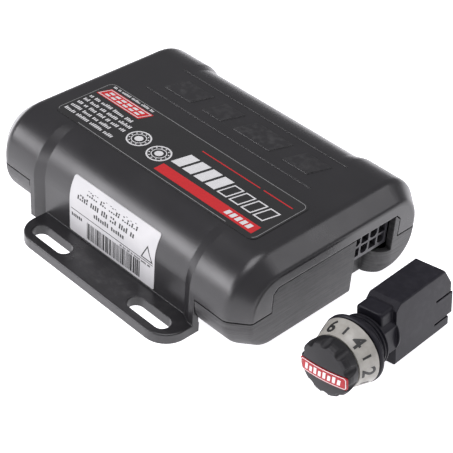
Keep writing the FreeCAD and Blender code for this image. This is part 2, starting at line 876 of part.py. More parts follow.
def barrel():
    """Tube with a web for the encoder and ridges near its front; its rear is narrower."""
    tube = Moulding("barrel_tube")
    outer, bore, front = D["barrel_round"], D["barrel_bore"], D["barrel_front"]
    neck, can = D["barrel_neck"], D["can_bore"]
    tube.turn([
        (bore, front), (outer, front), (outer, WEB_FRONT - 0.7), (neck, WEB_FRONT), (neck, 0.5),
        (can, 0.5), (can, WEB_BACK), (3.5, WEB_BACK), (3.5, WEB_FRONT), (bore, WEB_FRONT),
    ])
    for index in range(3):
        y = -9.9 + 1.3 * index
        tube.turn([(outer - 0.3, y), (outer + 0.5, y + 0.3), (outer + 0.5, y + 0.6), (outer - 0.3, y + 0.9)])
    return tube.body


def bezel_ring():
    """Lipped ring that screws on the barrel and clamps a panel."""
    ring = Moulding("bezel_ring")
    bore, lip = D["barrel_round"] + D["run_gap"], D["bezel_round"]
    ring.turn([
        (bore, BEZEL_FRONT), (lip - 0.5, BEZEL_FRONT), (lip, BEZEL_FRONT + 0.4),
        (lip, BEZEL_FRONT + 1.2), (lip - 0.5, BEZEL_FRONT + 1.6), (bore + 1.1, BEZEL_FRONT + 1.8),
        (bore + 1.1, -10.3), (bore, -10.3),
    ])
    return finish(ring.body, "bezel_ring", remote=True)


def encoder_body():
    """Rotary encoder: round can behind the web, threaded bush through it."""
    can = Moulding("encoder_can")
    bore = D["shaft_round"] + D["run_gap"]
    can.turn([
        (bore, -10.2), (3.4, -10.2), (3.4, WEB_BACK + 0.05), (5.6, WEB_BACK + 0.05),
        (5.6, 1.5), (0, 1.5), (0, 0.6), (bore, 0.6),
    ])
    return finish(can.body, "encoder_body", remote=True)


def encoder_nut():
    nut = Moulding("encoder_hex")
    points = [(5.4 * math.cos(math.radians(60 * k)), 5.4 * math.sin(math.radians(60 * k))) for k in range(6)]
    nut.pad("XZ_Plane", [points], -8.7, WEB_FRONT - 0.05)
    bored = cut("encoder_nut", nut.body, cylinder("nut_bore", 3.44, (0, -12, 0), 10, "y"))
    return finish(bored, "encoder_nut", remote=True)


def switch_dome():
    """Snap dome at the bottom of the encoder that the plunger presses."""
    dome = Moulding("switch_dome")
    dome.turn([(0, -0.35), (1.3, 0.05), (2.4, 0.4), (2.4, 0.55), (0, 0.55)])
    return finish(dome.body, "switch_dome", remote=True)


def light_guide():
    """Clear ring that carries light from the lamps to the back of the dial."""
    guide = Moulding("light_guide")
    guide.turn([(5.5, -13.1), (6.8, -13.1), (6.8, -9.2), (5.7, -9.2)])
    return finish(guide.body, "light_guide", remote=True)


def indicator_lamps():
    lamps = []
    for x, z in ((6.1, 0), (-6.1, 0), (0, 6.1), (0, -6.1)):
        lamps.append(box("lamp", (x - 0.5, WEB_FRONT - 1.1, z - 0.5), (x + 0.5, WEB_FRONT, z + 0.5)))
    return finish(group("indicator_lamps", lamps), "indicator_lamps", remote=True)


def remote_board():
    wall = D["shell_wall"] + 0.15
    plate = box("remote_plate", (D["shell_left"] + wall, 1.9, D["shell_low"] + wall),
                (D["shell_right"] - wall, 3.1, D["shell_high"] - wall))
    return finish(group("remote_board", [plate]), "remote_board", remote=True)


def remote_chip():
    chip = box("chip_block", (1.0, 3.1, 2.0), (4.2, 4.1, 7.0))
    return finish(group("remote_chip", [chip]), "remote_chip", remote=True)


CONTACT_X = -2.7
CONTACT_PITCH = 1.02


def contact_heights():
    middle = (D["shell_low"] + D["shell_high"]) / 2
    return [middle + (k - 3.5) * CONTACT_PITCH for k in range(8)]


def lead_socket():
    """Eight-way modular socket whose mouth faces the open rear of the shell."""
    wall = D["shell_wall"] + 0.1
    block = box("socket_block", (D["shell_left"] + wall, 12, D["shell_low"] + wall),
                (D["shell_right"] - wall, 24, D["shell_high"] - wall))
    z = (D["shell_low"] + D["shell_high"]) / 2
    tools = [
        box("plug_mouth", (SHELL_MIDDLE - 3.35, 14, z - 5.85), (SHELL_MIDDLE + 3.35, 25, z + 5.85)),
        box("latch_mouth", (SHELL_MIDDLE + 3, 16, z - 1.6), (SHELL_MIDDLE + 3.95, 25, z + 1.6)),
    ]
    for height in contact_heights():
        tools.append(box("contact_slot", (CONTACT_X - 0.06, 11, height - 0.22),
                         (CONTACT_X + 0.41, 15, height + 0.22)))
    return finish(cut("lead_socket", block, tools), "lead_socket", remote=True)


def socket_contacts():
    wires = [box("contact", (CONTACT_X, 3.1, height - 0.17), (CONTACT_X + 0.35, 21, height + 0.17))
             for height in contact_heights()]
    return finish(group("socket_contacts", wires), "socket_contacts", remote=True)


# ---------------------------------------------------------------- remote head: moving pieces

def push_plunger():
    disc = cylinder("plunger_disc", 2.5, (0, -2.4, 0), 0.9, "y")
    return finish(group("push_plunger", [disc]), "push_plunger", remote=True)


def knob_shaft():
    """D-section shaft from the plunger into the knob."""
    rod = cylinder("shaft_rod", D["shaft_round"], (0, -23.9, 0), 21.4, "y")
    flat = box("shaft_flat", (-4, -25, 2.4), (4, -12, 4))
    return finish(cut("knob_shaft", rod, flat), "knob_shaft", remote=True)


def number_dial():
    """Conical ring behind the knob that carries the numbers."""
    ring = Moulding("dial_ring")
    big, small = D["dial_big"], D["dial_small"]
    back, front = D["dial_back"], D["dial_front"]
    ring.turn([
        (5.25, front), (small, front), (big - 0.15, back - 0.5), (big, back), (big - 1.2, back),
        (small - 1.1, front + 1.7), (5.25, front + 1.7),
    ])
    return finish(ring.body, "number_dial", remote=True)


def knob_profile(grow):
    """Half section of the knob's skin, as (radius, y): barrel side and crowned face."""
    r, front, back = D["knob_round"] + grow, D["knob_front"] - grow, D["knob_back"]
    crown = front - D["knob_crown"]
    face = r - 1.6
    rise = D["knob_crown"] - 0.25
    swell = (face * face + rise * rise) / (2 * rise)
    return [
        (0, back), (r - 0.7, back), (r - 0.35, back - 0.6), (r, back - 3.2), (r - 0.12, front + 0.9),
        (r - 0.6, front + 0.1), (face, front - 0.25),
        (0, crown, (0, crown + swell, swell)),
    ]


def knob_skin(name, grow):
    skin = Moulding(name)
    skin.turn(knob_profile(grow))
    return skin.body


def control_knob():
    """Knob with ten finger scoops in its front rim and a slot across its face."""
    hub = cylinder("knob_hub", 5.15, (0, D["knob_back"] - 0.5, 0), 0.5 - 11.0 - D["knob_back"], "y")
    solid = fuse("knob_solid", [knob_skin("knob_skin", as_size(0)), hub])
    scoops = []
    for k in range(10):
        angle = math.radians(18 + 36 * k)
        rod = cylinder("scoop_rod", 1.75, (0, 0, 0), 8, "y")
        ball = doc.addObject("Part::Sphere", "scoop_ball")
        ball.Radius = 1.75
        bind_place(ball, 0, 8, 0)
        scoop = fuse("scoop", [rod, ball])
        lean = Rotation(Vector(0, 1, 0), -90 - math.degrees(angle)).multiply(Rotation(Vector(1, 0, 0), -14))
        scoop.Placement = FreeCAD.Placement(
            Vector(8.6 * math.cos(angle), (D["knob_front"] - 4.6).value, 8.6 * math.sin(angle)), lean)
        scoops.append(scoop)
    rod = cylinder("knob_rod", D["shaft_round"] + 0.03, (0, -24, 0), 20, "y")
    flat = box("knob_flat", (-4, -25, 2.43), (4, -12, 4))
    slot = box("plate_slot", (-9.0, -30, -3.35), (9.0, D["knob_front"] + 0.25, 1.35))
    tools = scoops + [cut("knob_bore", rod, flat), slot]
    return finish(cut("control_knob", solid, tools), "control_knob", remote=True)


def knob_plate():
    """Inlay across the knob's face, crowned like the face it sits in."""
    bar = Moulding("plate_bar")
    bar.pad("XZ_Plane", [rounded_rectangle(-8.9, -3.25, 8.9, 1.25, 0.9)], -30, D["knob_front"] + 0.2)
    plate = common("knob_plate", bar.body, knob_skin("plate_skin", as_size(0.2)))
    return finish(plate, "knob_plate", remote=True)


# ---------------------------------------------------------------- build, check and export

def build_all():
    block = case_block("cover_outside", as_size(0), 0)
    round_band(block, as_size(0))
    outside = block.body
    skin = cut("label_skin", case_block("cover_grown", -D["label_skin"], 0).body, outside)
    upper_cover(outside)
    base_cover()
    circuit_board()
    power_header()
    header_pins()
    power_transistors()
    thermal_pad()
    heat_spreader()
    case_screws()
    board_screws()
    spreader_screws()
    filter_capacitors()
    suppression_choke()
    board_chip("microcontroller", 2.0, 8.0, 12.0, 12.0, 1.4, 0.5)
    board_chip("accelerometer", -4.0, 21.0, 4.0, 4.0, 1.0, 0.25)
    board_chip("voltage_regulator", 20.0, 10.0, 6.5, 6.0, 2.3, 0.4)
    board_chip("transient_suppressor", 38.0, 0.5, 7.0, 6.0, 2.4, 0.4)
    shunt_resistor()
    top_label(skin)
    side_label(skin)
    remote_body()
    bezel_ring()
    encoder_body()
    encoder_nut()
    switch_dome()
    light_guide()
    indicator_lamps()
    remote_board()
    remote_chip()
    lead_socket()
    socket_contacts()
    push_plunger()
    knob_shaft()
    number_dial()
    control_knob()
    knob_plate()


def check_document():
    for item in doc.Objects:
        for word in ("Invalid", "Error"):
            if word in item.State:
                raise RuntimeError("%s failed: %s" % (item.Name, item.State))
    for piece in PIECES:
        if piece.Shape.isNull() or not piece.Shape.isValid():
            raise RuntimeError("%s has no valid shape" % piece.Label)


def export_parts():
    os.makedirs("parts", exist_ok=True)
    for piece in PIECES:
        piece.Shape.exportStep(os.path.join("parts", piece.Label + ".step"))
        print("%-22s %9.1f mm3, %d solid(s)" % (
            piece.Label, piece.Shape.Volume, len(piece.Shape.Solids)))


build_all()
doc.recompute()
check_document()
export_parts()
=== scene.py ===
import json
import math
import random

import bmesh
import bpy
from mathutils import Matrix, Vector


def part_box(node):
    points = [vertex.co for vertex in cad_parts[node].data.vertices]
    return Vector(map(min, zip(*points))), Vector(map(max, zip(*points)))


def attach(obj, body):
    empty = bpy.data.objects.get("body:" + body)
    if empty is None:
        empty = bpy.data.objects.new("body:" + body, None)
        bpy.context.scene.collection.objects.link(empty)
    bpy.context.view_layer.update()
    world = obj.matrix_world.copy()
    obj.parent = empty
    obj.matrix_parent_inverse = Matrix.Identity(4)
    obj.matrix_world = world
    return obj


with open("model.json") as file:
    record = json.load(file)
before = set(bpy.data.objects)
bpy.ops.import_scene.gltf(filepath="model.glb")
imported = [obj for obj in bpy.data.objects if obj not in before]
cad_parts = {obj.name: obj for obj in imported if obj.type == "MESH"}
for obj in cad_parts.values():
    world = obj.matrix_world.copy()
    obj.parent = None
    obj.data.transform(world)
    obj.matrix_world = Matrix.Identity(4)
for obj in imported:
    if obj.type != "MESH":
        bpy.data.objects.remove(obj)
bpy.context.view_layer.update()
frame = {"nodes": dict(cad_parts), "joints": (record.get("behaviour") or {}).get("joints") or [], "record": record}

# A trailer brake controller: a flanged main unit and its remote knob head. Metres, +Z up.
MM = 0.001
NODES = frame["nodes"]
JOINTS = {joint["name"]: joint for joint in frame["joints"]}

NOISE_LOW, NOISE_HIGH = 0.3, 0.7    # nearly all of a noise node's values lie between these
EDGE_LOW, EDGE_HIGH = 0.52, 0.62    # pointiness just off a flat face, and on a sharp edge
BANDS_AT_SCALE_ONE = 3.2            # a wave node's bands to the metre, before it is scaled


# ---------------------------------------------------------------- node materials

class Shader:
    """A node material around one Principled BSDF, with short calls for the usual nodes."""

    def __init__(self, name):
        self.material = bpy.data.materials.new(name)
        self.material.use_nodes = True
        self.nodes = self.material.node_tree.nodes
        self.links = self.material.node_tree.links
        self.surface = self.nodes["Principled BSDF"]
        self.place = self.nodes.new("ShaderNodeTexCoord").outputs["Object"]

    def put(self, socket, value):
        """Feed an input from another node's output, or give it a plain value."""
        if isinstance(value, bpy.types.NodeSocket):
            self.links.new(value, socket)
        else:
            socket.default_value = value

    def set(self, **values):
        """Feed inputs of the Principled BSDF by name."""
        for name, value in values.items():
            self.put(self.surface.inputs[name.replace("_", " ")], value)

    def stretched(self, x, y, z):
        """Object coordinates scaled by axis: a small number draws the pattern out along it."""
        mapping = self.nodes.new("ShaderNodeMapping")
        mapping.inputs["Scale"].default_value = (x, y, z)
        self.links.new(self.place, mapping.inputs["Vector"])
        return mapping.outputs["Vector"]

    def noise(self, size, detail=3.0, roughness=0.55, vector=None):
        """Noise whose features are about size metres across, from 0 to 1."""
        node = self.nodes.new("ShaderNodeTexNoise")
        node.inputs["Scale"].default_value = 1 / size
        node.inputs["Detail"].default_value = detail
        node.inputs["Roughness"].default_value = roughness
        self.links.new(vector or self.place, node.inputs["Vector"])
        return node.outputs["Fac"]

    def wave(self, size, axis, distortion=0.0):
        """Parallel bands size metres apart, from 0 to 1."""
        node = self.nodes.new("ShaderNodeTexWave")
        node.bands_direction = axis
        node.inputs["Scale"].default_value = 1 / (size * BANDS_AT_SCALE_ONE)
        node.inputs["Distortion"].default_value = distortion
        self.links.new(self.place, node.inputs["Vector"])
        return node.outputs["Fac"]

    def ramp(self, value, low, high, start, end):
        """Map value from low..high to start..end, numbers or colours."""
        node = self.nodes.new("ShaderNodeMapRange")
        node.inputs["From Min"].default_value = low
        node.inputs["From Max"].default_value = high
        self.links.new(value, node.inputs["Value"])
        if isinstance(start, (int, float)):
            node.inputs["To Min"].default_value = start
            node.inputs["To Max"].default_value = end
            return node.outputs["Result"]
        return self.mix(node.outputs["Result"], start, end)

    def spread(self, noise, start, end):
        """Map a noise to start..end over the range that it really covers."""
        return self.ramp(noise, NOISE_LOW, NOISE_HIGH, start, end)

    def mix(self, factor, one, other):
        """Blend two colours: one at factor 0 and the other at factor 1."""
        node = self.nodes.new("ShaderNodeMix")
        node.data_type = "RGBA"
        self.put(node.inputs[0], factor)
        self.put(node.inputs[6], one)
        self.put(node.inputs[7], other)
        return node.outputs[2]

    def sum(self, one, other, kind="ADD"):
        """Combine two values, by adding them unless another kind of sum is named."""
        node = self.nodes.new("ShaderNodeMath")
        node.operation = kind
        self.put(node.inputs[0], one)
        self.put(node.inputs[1], other)
        return node.outputs[0]

    def edges(self):
        """1 along convex edges and 0 elsewhere."""
        node = self.nodes.new("ShaderNodeNewGeometry")
        return self.ramp(node.outputs["Pointiness"], EDGE_LOW, EDGE_HIGH, 0.0, 1.0)

    def bump(self, height, depth, strength=1.0, round_edges=0.0):
        """Raise the surface by depth where height is 1, and soften edges to a radius."""
        node = self.nodes.new("ShaderNodeBump")
        node.inputs["Strength"].default_value = strength
        node.inputs["Distance"].default_value = depth
        self.links.new(height, node.inputs["Height"])
        if round_edges:
            bevel = self.nodes.new("ShaderNodeBevel")
            bevel.samples = 6
            bevel.inputs["Radius"].default_value = round_edges
            self.links.new(bevel.outputs["Normal"], node.inputs["Normal"])
        self.links.new(node.outputs["Normal"], self.surface.inputs["Normal"])


def grey(level, tint=(1.0, 1.0, 1.0)):
    """An opaque grey, pulled towards a hue by the tint."""
    return (level * tint[0], level * tint[1], level * tint[2], 1.0)


def shade(colour, factor):
    """The same colour, darker by a factor."""
    return tuple(channel * factor for channel in colour[:3]) + (1,)


def moulded_plastic(name, colour, wear_and_highlight, rough, grain, depth, round_edges, streak=0.0, gloss=0.5):
    """Spark-textured moulded plastic: fine grain, soft mottling, paler convex edges that are partly rubbed wear
    and partly a painted highlight, level streaks.
    """
    shader = Shader(name)
    mottle = shader.noise(9 * MM, 4.0)
    fine = shader.noise(grain, 2.0, 0.6)
    base = shader.mix(shader.spread(mottle, 0.0, 1.0), colour, shade(colour, 0.82))
    # Paler convex edges: partly rubbed wear, partly a painted edge highlight.
    rubbed_and_highlit = shader.sum(shader.edges(), shader.ramp(shader.noise(2.5 * MM), 0.45, 0.7, 0.0, 1.0), "MULTIPLY")
    base = shader.mix(shader.sum(rubbed_and_highlit, 0.35, "MULTIPLY"), base, wear_and_highlight)
    roughness = shader.spread(shader.noise(22 * MM, 5.0), rough - 0.05, rough + 0.06)
    height = fine
    if streak:
        lines = shader.noise(grain, 2.0, 0.5, shader.stretched(0.05, 0.05, 1))
        height = shader.sum(fine, shader.sum(lines, streak, "MULTIPLY"))
        base = shader.mix(shader.ramp(lines, 0.35, 0.65, 0.0, 0.4), base, wear_and_highlight)
    shader.set(Base_Color=base, Roughness=roughness, IOR=1.5, Specular_IOR_Level=gloss)
    shader.bump(height, depth, 0.8, round_edges)
    return shader.material


def printed_film(name, colour, rough):
    """Printed label film: a faint leather embossing under a satin hard coat."""
    shader = Shader(name)
    mottle = shader.noise(6 * MM, 3.0)
    shader.set(Base_Color=shader.spread(mottle, colour, shade(colour, 0.85)),
               Roughness=shader.spread(shader.noise(14 * MM), rough - 0.04, rough + 0.05),
               Coat_Weight=0.25, Coat_Roughness=0.18)
    shader.bump(shader.noise(0.35 * MM, 2.0), 0.008 * MM, 0.6)
    return shader.material


def ink(name, colour, rough=0.4):
    """Screen-printed ink: slightly uneven colour and a faint pile."""
    shader = Shader(name)
    patchy = shader.noise(1.2 * MM, 4.0)
    shader.set(Base_Color=shader.spread(patchy, colour, shade(colour, 0.9)),
               Roughness=shader.spread(patchy, rough, rough + 0.12))
    shader.bump(shader.noise(0.2 * MM, 2.0), 0.004 * MM, 0.5)
    return shader.material


def paper(name):
    """White thermal label stock: fibres, a faint curl of tone and a soft satin face."""
    shader = Shader(name)
    fibre = shader.noise(0.5 * MM, 5.0, 0.6, shader.stretched(0.4, 1, 1))
    tone = shader.noise(12 * MM, 2.0)
    base = shader.spread(tone, grey(0.50, (1, 0.99, 1.0)), grey(0.43, (1, 1, 1.02)))
    shader.set(Base_Color=base, Roughness=shader.spread(fibre, 0.48, 0.62))
    shader.bump(fibre, 0.012 * MM, 0.6)
    return shader.material


def metal(name, colour, rough, axis="X"):
    """Plated or drawn metal with fine directional scratches and dull patches."""
    shader = Shader(name)
    scale = {"X": (0.04, 1, 1), "Y": (1, 0.04, 1), "Z": (1, 1, 0.04)}[axis]
    drawn = shader.noise(0.12 * MM, 3.0, 0.6, shader.stretched(*scale))
    dull = shader.noise(3 * MM, 4.0)
    shader.set(Base_Color=shader.ramp(dull, 0.35, 0.7, colour, shade(colour, 0.75)),
               Metallic=1.0, Roughness=shader.spread(drawn, rough - 0.08, rough + 0.12))
    shader.bump(drawn, 0.006 * MM, 0.7, 0.08 * MM)
    return shader.material


def solder_mask(name):
    """Green circuit board: copper tracks show as a paler weave under the mask."""
    shader = Shader(name)
    tracks = shader.sum(shader.wave(1.3 * MM, "X", 3.0), shader.wave(1.7 * MM, "Y", 3.0), "MAXIMUM")
    raised = shader.ramp(tracks, 0.8, 0.9, 0.0, 1.0)
    shader.set(Base_Color=shader.mix(raised, (0.01, 0.09, 0.035, 1), (0.03, 0.2, 0.08, 1)),
               Roughness=shader.spread(shader.noise(4 * MM), 0.28, 0.42), Coat_Weight=0.4)
    shader.bump(raised, 0.03 * MM, 0.6, 0.05 * MM)
    return shader.material


def chip_epoxy(name):
    """Moulded black epoxy of chips: speckled and dull."""
    shader = Shader(name)
    speck = shader.noise(0.15 * MM, 2.0)
    shader.set(Base_Color=shader.spread(speck, grey(0.02), grey(0.045)),
               Roughness=shader.spread(shader.noise(2 * MM), 0.5, 0.65))
    shader.bump(speck, 0.01 * MM, 0.7, 0.1 * MM)
    return shader.material


def sleeve(name):
    """Shrink sleeve of a capacitor with its pale polarity stripe."""
    shader = Shader(name)
    stripe = shader.ramp(shader.wave(15 * MM, "Y"), 0.93, 0.95, 0.0, 1.0)
    shader.set(Base_Color=shader.mix(stripe, (0.015, 0.02, 0.06, 1), (0.5, 0.52, 0.56, 1)),
               Roughness=shader.spread(shader.noise(3 * MM), 0.2, 0.35))
    shader.bump(shader.noise(0.8 * MM), 0.02 * MM, 0.5, 0.2 * MM)
    return shader.material


def winding(name):
    """Enamelled copper turns."""
    shader = Shader(name)
    turns = shader.wave(0.9 * MM, "DIAGONAL", 1.0)
    shader.set(Base_Color=shader.ramp(turns, 0.1, 0.8, (0.2, 0.05, 0.015, 1), (0.72, 0.3, 0.1, 1)),
               Metallic=0.8, Roughness=shader.ramp(turns, 0, 1, 0.5, 0.25))
    shader.bump(turns, 0.25 * MM, 1.0)
    return shader.material


def gap_filler(name):
    """Soft blue-grey thermal pad."""
    shader = Shader(name)
    speck = shader.noise(0.3 * MM)
    shader.set(Base_Color=shader.spread(speck, (0.25, 0.33, 0.42, 1), (0.38, 0.47, 0.56, 1)),
               Roughness=0.85)
    shader.bump(speck, 0.02 * MM, 0.6)
    return shader.material


def clear_moulding(name):
    """Clear acrylic with faint flow marks."""
    shader = Shader(name)
    swirl = shader.noise(3 * MM)
    shader.set(Base_Color=shader.spread(swirl, (0.95, 0.97, 1, 1), (0.88, 0.92, 0.95, 1)),
               Transmission_Weight=0.9, IOR=1.49, Roughness=shader.spread(swirl, 0.08, 0.2))
    shader.bump(swirl, 0.02 * MM, 0.4)
    return shader.material


def dial_plastic(name):
    """Pale translucent dial: an uneven creamy tone, a little light let in, and a fine satin grain."""
    shader = Shader(name)
    tone = shader.noise(3.5 * MM, 4.0)
    base = shader.spread(tone, (0.36, 0.35, 0.32, 1), (0.25, 0.24, 0.215, 1))
    shader.set(Base_Color=base, Roughness=shader.spread(shader.noise(2 * MM), 0.3, 0.42),
               Subsurface_Weight=0.15, Subsurface_Radius=(0.001, 0.0009, 0.0008), Subsurface_Scale=0.6)
    shader.bump(shader.noise(0.25 * MM, 2.0), 0.008 * MM, 0.6, 0.2 * MM)
    return shader.material


def red_inlay(name):
    """Satin red plastic of the knob's inlay."""
    shader = Shader(name)
    tone = shader.noise(2.2 * MM, 4.0)
    shader.set(Base_Color=shader.spread(tone, (0.34, 0.006, 0.013, 1), (0.28, 0.005, 0.010, 1)),
               Roughness=shader.spread(shader.noise(1.5 * MM), 0.34, 0.46), Specular_IOR_Level=0.35)
    shader.bump(shader.noise(0.5 * MM), 0.008 * MM, 0.5, 0.2 * MM)
    return shader.material


VIOLET = (1.0, 0.97, 1.12)
MATERIALS = {
    "case_plastic": moulded_plastic("case_plastic", grey(0.014, (1.05, 1, 1.12)), wear_and_highlight=grey(0.07),
                                    rough=0.31, grain=0.28 * MM, depth=0.012 * MM,
                                    round_edges=0.5 * MM, gloss=0.58),
    "base_plastic": moulded_plastic("base_plastic", grey(0.018, (1.05, 1, 1.1)), wear_and_highlight=grey(0.08),
                                    rough=0.46, grain=0.4 * MM, depth=0.04 * MM,
                                    round_edges=0.5 * MM, streak=1.5),
    "board_green": solder_mask("board_green"),
    "header_plastic": moulded_plastic("header_plastic", grey(0.06, VIOLET), wear_and_highlight=grey(0.2),
                                      rough=0.36, grain=0.2 * MM, depth=0.01 * MM,
                                      round_edges=0.12 * MM),
    "tinned_brass": metal("tinned_brass", (0.72, 0.68, 0.56, 1), 0.3),
    "chip_epoxy": chip_epoxy("chip_epoxy"),
    "thermal_pad": gap_filler("thermal_pad"),
    "aluminium": metal("aluminium", (0.72, 0.73, 0.75, 1), 0.35),
    "zinc_steel": metal("zinc_steel", (0.58, 0.58, 0.55, 1), 0.32, "Z"),
    "capacitor_sleeve": sleeve("capacitor_sleeve"),
    "copper_winding": winding("copper_winding"),
    "shunt_alloy": metal("shunt_alloy", (0.5, 0.44, 0.38, 1), 0.4, "Y"),
    "top_label_film": printed_film("top_label_film", grey(0.011, (1, 0.98, 1.02)), 0.38),
    "side_label_paper": paper("side_label_paper"),
    "remote_plastic": moulded_plastic("remote_plastic", grey(0.012, (0.98, 0.93, 1.3)),
                                      wear_and_highlight=grey(0.05, VIOLET), rough=0.40, grain=0.22 * MM,
                                      depth=0.014 * MM, round_edges=0.35 * MM, gloss=0.16),
    "encoder_metal": metal("encoder_metal", (0.55, 0.55, 0.54, 1), 0.34, "Y"),
    "clear_acrylic": clear_moulding("clear_acrylic"),
    "lamp_resin": ink("lamp_resin", (0.8, 0.74, 0.5, 1), 0.2),
    "dial_plastic": dial_plastic("dial_plastic"),
    "knob_plastic": moulded_plastic("knob_plastic", grey(0.013, (1.02, 0.98, 1.12)), wear_and_highlight=grey(0.06),
                                    rough=0.46, grain=0.16 * MM, depth=0.012 * MM,
                                    round_edges=0.4 * MM, gloss=0.28),
    "red_inlay": red_inlay("red_inlay"),
}
WHITE_INK = ink("white_ink", grey(0.62), 0.42)
PALE_INK = ink("pale_ink", grey(0.22), 0.42)
RED_INK = ink("red_ink", (0.50, 0.010, 0.014, 1), 0.45)
BLACK_INK = ink("black_ink", grey(0.018), 0.45)


def paint_cad_nodes():
    for part in frame["record"]["subparts"]:
        node = NODES[part["node"]]
        node.data.materials.clear()
        node.data.materials.append(MATERIALS[part["material_slot"]])
        for face in node.data.polygons:
            face.material_index = 0


# ---------------------------------------------------------------- flat shapes and their placing

INK = 0.03 * MM             # how far print stands above a surface, and how far it reaches in
CORNER_SIDES = 6            # straight sides to a rounded corner
LONGEST_SIDE = 0.8          # millimetres of a stroke between points, to follow a curved surface
MITRE_LIMIT = 0.35          # cosine below which a stroke's mitred corner grows no longer
UPRIGHT_WIDTH = 0.34        # small print: an upright's width, over the row's height
UPRIGHT_PITCH = 0.54        # from one upright to the next, over the row's height
WORD_GAP = 0.55             # extra room between words, over the row's height


def quad(x0, y0, x1, y1, slant=0.0):
    """Rectangle whose top edge is shifted by slant."""
    return [(x0, y0), (x1, y0), (x1 + slant, y1), (x0 + slant, y1)]


def disc(x, y, r, sides):
    """Circle with its centre at (x, y), as a regular polygon."""
    turn = 2 * math.pi / sides
    return [(x + r * math.cos(turn * k), y + r * math.sin(turn * k)) for k in range(sides)]


def round_corners(x0, y0, x1, y1, r):
    """Rectangle with corners of radius r."""
    points = []
    for cx, cy, first in ((x1 - r, y1 - r, 0), (x0 + r, y1 - r, 1), (x0 + r, y0 + r, 2), (x1 - r, y0 + r, 3)):
        for k in range(CORNER_SIDES + 1):
            angle = math.pi / 2 * (first + k / CORNER_SIDES)
            points.append((cx + r * math.cos(angle), cy + r * math.sin(angle)))
    return points


def divided(route, closed):
    """The same route with points added, so that no side is long."""
    ends = route[1:] + route[:1] if closed else route[1:]
    points = []
    for start, end in zip(route, ends):
        count = math.ceil(math.dist(start, end) / LONGEST_SIDE)
        points += [tuple(Vector(start).lerp(Vector(end), k / count)) for k in range(count)]
    return points if closed else points + [route[-1]]


class Print:
    """Flat shapes gathered into one thin closed mesh and laid on a surface."""

    def __init__(self):
        self.points = []
        self.faces = []

    def shape(self, outline):
        """Add one filled outline."""
        first = len(self.points)
        self.points += outline
        self.faces.append(list(range(first, first + len(outline))))
        return self

    def line(self, route, width, closed=False):
        """A stroke of even width along a route, with mitred corners."""
        route = divided(route, closed)
        count = len(route)
        first = len(self.points)
        for k, here in enumerate(route):
            here = Vector(here)
            before = Vector(route[k - 1]) if k or closed else None
            after = Vector(route[(k + 1) % count]) if k < count - 1 or closed else None
            one = (here - before).normalized() if before is not None else (after - here).normalized()
            two = (after - here).normalized() if after is not None else one
            tangent = (one + two).normalized()
            side = Vector((-tangent.y, tangent.x))
            reach = width / 2 / max(MITRE_LIMIT, side.dot(Vector((-one.y, one.x))))
            self.points += [tuple(here + side * reach), tuple(here - side * reach)]
        for k in range(count if closed else count - 1):
            a, b = first + 2 * k, first + 2 * ((k + 1) % count)
            self.faces.append([a + 1, b + 1, b, a])
        return self

    def words(self, x, y, length, height, seed):
        """A row like small print: groups of plain upright strokes of uneven height."""
        chance = random.Random(seed)
        end = x + length
        while x < end - height:
            for stroke in range(chance.randint(2, 7)):
                if x < end:
                    top = y + height * chance.uniform(0.6, 1.0)
                    self.shape(quad(x, y, x + UPRIGHT_WIDTH * height, top))
                x += height * UPRIGHT_PITCH
            x += height * WORD_GAP
        return self

    def build(self, name, material, slot, body, place, thickness=INK, sink=INK):
        """Make the piece: every outline is a thin plate from sink below the surface up."""
        mesh = bmesh.new()
        rows = []
        for depth in (-sink, thickness):
            rows.append([mesh.verts.new(place(x, y, depth)) for x, y in self.points])
        sides = {}
        for face in self.faces:
            mesh.faces.new([rows[1][k] for k in face])
            mesh.faces.new([rows[0][k] for k in reversed(face)])
            for a, b in zip(face, face[1:] + face[:1]):
                sides[(a, b)] = True
        for a, b in sides:
            if (b, a) not in sides:
                mesh.faces.new([rows[1][b], rows[1][a], rows[0][a], rows[0][b]])
        bmesh.ops.recalc_face_normals(mesh, faces=mesh.faces)
        data = bpy.data.meshes.new(name)
        mesh.to_mesh(data)
        mesh.free()
        data.materials.append(material)
        piece = bpy.data.objects.new(name, data)
        bpy.context.scene.collection.objects.link(piece)
        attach(piece, body)
        return piece


# ---------------------------------------------------------------- print on the main unit

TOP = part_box("top_label")[1].z
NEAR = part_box("side_label")[0].y
SHOULDER = 16.5 * MM        # radius of the case's near shoulder, and the height where it starts
LABEL_BEND = -25.2 * MM     # where the top label leaves the flat and curves down


def on_top(x, y, height):
    """A point given in millimetres on the top label; past the flat the film curves down."""
    x, y = x * MM, y * MM
    over = max(0.0, LABEL_BEND - y)
    drop = SHOULDER - math.sqrt(SHOULDER ** 2 - over ** 2)
    return (x, y, TOP - drop + height)


def on_top_print(x, y, height):
    """A point on the layer of print that lies on the top label."""
    return on_top(x, y, height + INK)


def on_side(x, z, height):
    """A point given in millimetres on the side label, which wraps on to the shoulder."""
    x, z = x * MM, z * MM
    rise = max(0.0, z - SHOULDER)
    inward = SHOULDER - math.sqrt(SHOULDER ** 2 - rise ** 2)
    return (x, NEAR + inward - height, z)


def label_border():
    """A fine pale line round the top label, just inside its edge."""
    left, near, right, far = -46.8, -26.7, 46.8, -1.7
    border = Print().line(round_corners(left, near, right, far, 2.2), 0.22, True)
    border.build("label_border", PALE_INK, "side_label_paper", "main_unit", on_top)


def label_tag():
    """A slanted red tag with a white edge and two rows of small slanted bars."""
    tag = Print().shape(quad(-45.8, -9.9, -24.2, -4.5, 1.9))
    tag.build("label_red_tag", RED_INK, "red_inlay", "main_unit", on_top)
    marks = Print().line([(-45.2, -9.4), (-24.9, -9.4), (-23.1, -5.0), (-43.6, -5.0)], 0.3, True)
    for k in range(6):
        x = -43.2 + 3.0 * k
        marks.shape(quad(x, -8.5, x + 2.1, -7.6, 0.35))
        marks.shape(quad(x + 0.55, -6.9, x + 2.65, -5.9, 0.35))
    marks.build("label_tag_marks", WHITE_INK, "side_label_paper", "main_unit", on_top_print)


